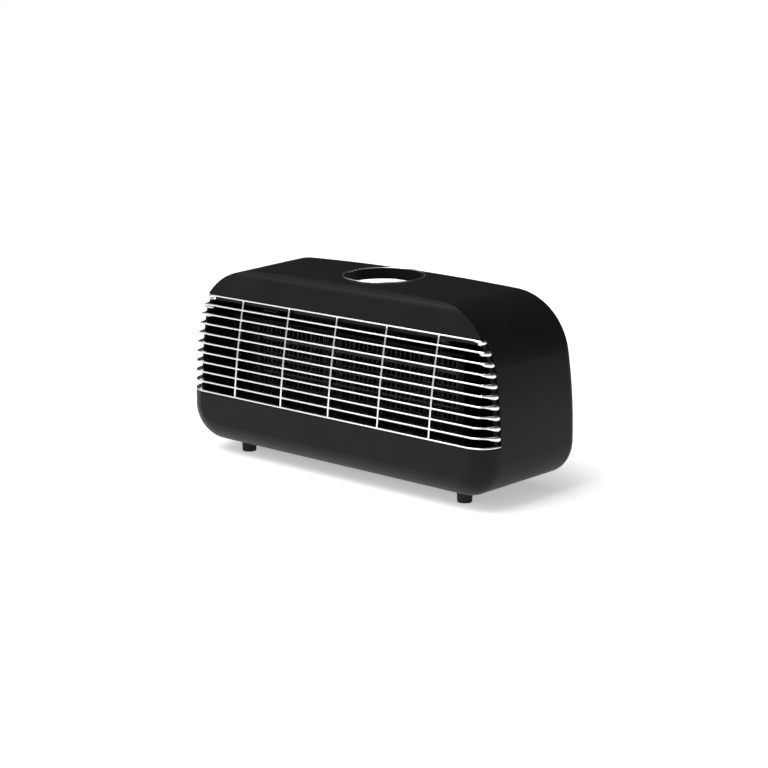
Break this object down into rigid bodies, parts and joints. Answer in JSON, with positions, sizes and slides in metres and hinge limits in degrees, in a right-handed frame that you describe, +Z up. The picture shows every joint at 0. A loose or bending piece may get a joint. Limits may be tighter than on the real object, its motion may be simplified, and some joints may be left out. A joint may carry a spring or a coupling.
{
  "type": "ceramic space heater",
  "caption": "Low, wide ceramic space heater with rounded black case, wrap-round chrome louvres on a leaning front, round grip opening in the top and dials on the back.",
  "frame": {"origin": "centre of the footprint, on the plane under the feet", "axes": "+Z up; +X along the width, towards the right of a viewer facing the grille; the grille faces -Y, so +Y points to the back"},
  "size_m": [0.3588, 0.121, 0.1747],
  "materials": {
    "case_black": "satin moulded, fine grain",
    "chrome_trim": "bright plated",
    "inner_black": "matt black moulding",
    "duct_steel": "aluminised sheet, dull",
    "element_metal": "finned, slightly oxidised",
    "guard_wire": "black painted wire",
    "fan_metal": "mill finish",
    "steel": "bright steel",
    "bronze": "sintered bronze",
    "copper_coil": "varnished winding",
    "zinc": "zinc plated",
    "rear_plastic": "satin moulded",
    "filter_foam": "open-cell foam",
    "control_body": "brown phenolic",
    "dial_black": "satin, fluted",
    "spindle_metal": "turned",
    "lamp_amber": "translucent amber",
    "plunger_white": "acetal",
    "safety_ceramic": "steatite",
    "lead_insulation": "silicone sleeve",
    "foot_rubber": "matt rubber"
  },
  "bodies": {
    "housing": {"front_shell": "case_black", "louvre_grille": "chrome_trim", "rear_case": "case_black", "grip_ring": "chrome_trim", "grip_liner": "inner_black", "outlet_duct": "duct_steel", "heater_frame": "inner_black", "lower_element": "element_metal", "upper_element": "element_metal", "element_guard": "guard_wire", "blower_scroll": "duct_steel", "blower_tongue": "duct_steel", "blower_end_left": "duct_steel", "blower_end_right": "duct_steel", "blower_bush": "bronze", "motor_bush_outer": "bronze", "motor_bush_inner": "bronze", "motor_stator": "steel", "motor_coil": "copper_coil", "motor_bracket_outer": "steel", "motor_bracket_inner": "steel", "motor_spacers": "steel", "motor_screws": "zinc", "rear_grille": "rear_plastic", "intake_filter": "filter_foam", "control_plate": "rear_plastic", "thermostat_body": "control_body", "selector_body": "control_body", "pilot_lamp": "lamp_amber", "tilt_switch": "inner_black", "tilt_spring": "steel", "thermal_cutout": "safety_ceramic", "thermal_fuse": "safety_ceramic", "terminal_block": "inner_black", "cord_gland": "inner_black", "motor_leads": "lead_insulation", "control_leads": "lead_insulation", "cutout_lead": "lead_insulation", "foot_front_left": "foot_rubber", "foot_front_right": "foot_rubber", "foot_rear_left": "foot_rubber", "foot_rear_right": "foot_rubber", "foot_screws": "zinc", "case_screws": "zinc"},
    "rotor": {"rotor_wheel": "fan_metal", "rotor_shaft": "steel", "motor_rotor": "fan_metal"},
    "thermostat_knob": {"thermostat_dial": "dial_black", "thermostat_spindle": "spindle_metal"},
    "selector_knob": {"selector_dial": "dial_black", "selector_spindle": "spindle_metal"},
    "tilt_pin": {"tilt_plunger": "plunger_white"}
  },
  "joints": [
    {"name": "rotor_spin", "type": "hinge", "parent": "housing", "child": "rotor", "pos_m": [0, 0.0205, 0.084], "axis": [1, 0, 0], "continuous": true},
    {"name": "thermostat_turn", "type": "hinge", "parent": "housing", "child": "thermostat_knob", "pos_m": [0.136, 0.05, 0.118], "axis": [0, 1, 0], "range_deg": [0, 270]},
    {"name": "selector_turn", "type": "hinge", "parent": "housing", "child": "selector_knob", "pos_m": [0.136, 0.05, 0.074], "axis": [0, 1, 0], "range_deg": [0, 135]},
    {"name": "tilt_slide", "type": "slide", "parent": "housing", "child": "tilt_pin", "axis": [0, 0, -1], "range_m": [0, 0.005], "stiffness_N_per_m": 40, "springref_m": 0.008, "deforming": ["tilt_spring"]}
  ]
}
